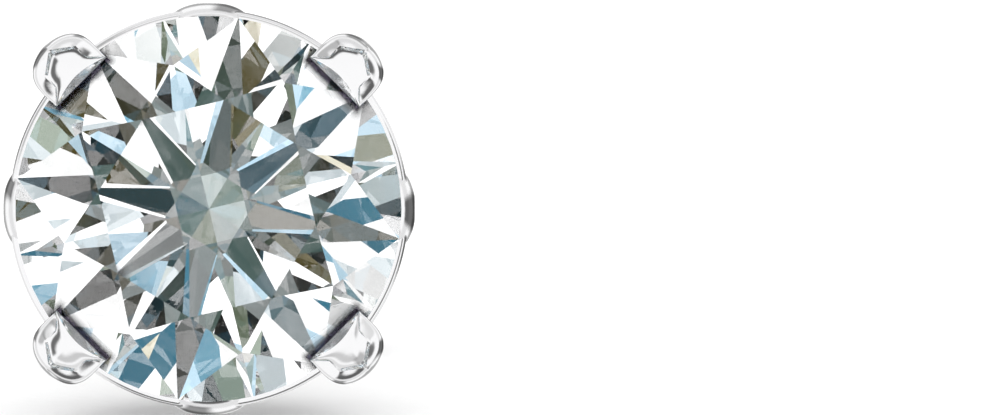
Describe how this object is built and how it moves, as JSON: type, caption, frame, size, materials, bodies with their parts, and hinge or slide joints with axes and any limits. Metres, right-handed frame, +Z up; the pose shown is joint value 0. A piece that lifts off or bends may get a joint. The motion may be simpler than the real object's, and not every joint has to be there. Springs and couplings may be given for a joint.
{
  "type": "stud earring",
  "caption": "Prong-set round brilliant stud earring: a faceted stone in a gallery basket on a straight ear post, with a butterfly friction nut pushed onto the post.",
  "frame": {"origin": "on the surface that the stud lies on, below the middle of its box", "axes": "+Z up, +Y from the stone towards the tip of the ear post, with the stone's table facing -Y, +X to the right of someone looking at the table"},
  "size_m": [0.007, 0.0152, 0.007],
  "materials": {
    "diamond": "cut and polished",
    "white_gold": "rhodium plated, high polish"
  },
  "bodies": {
    "root": {"round_stone": "diamond", "prong_setting": "white_gold", "friction_nut": "white_gold"}
  },
  "joints": []
}
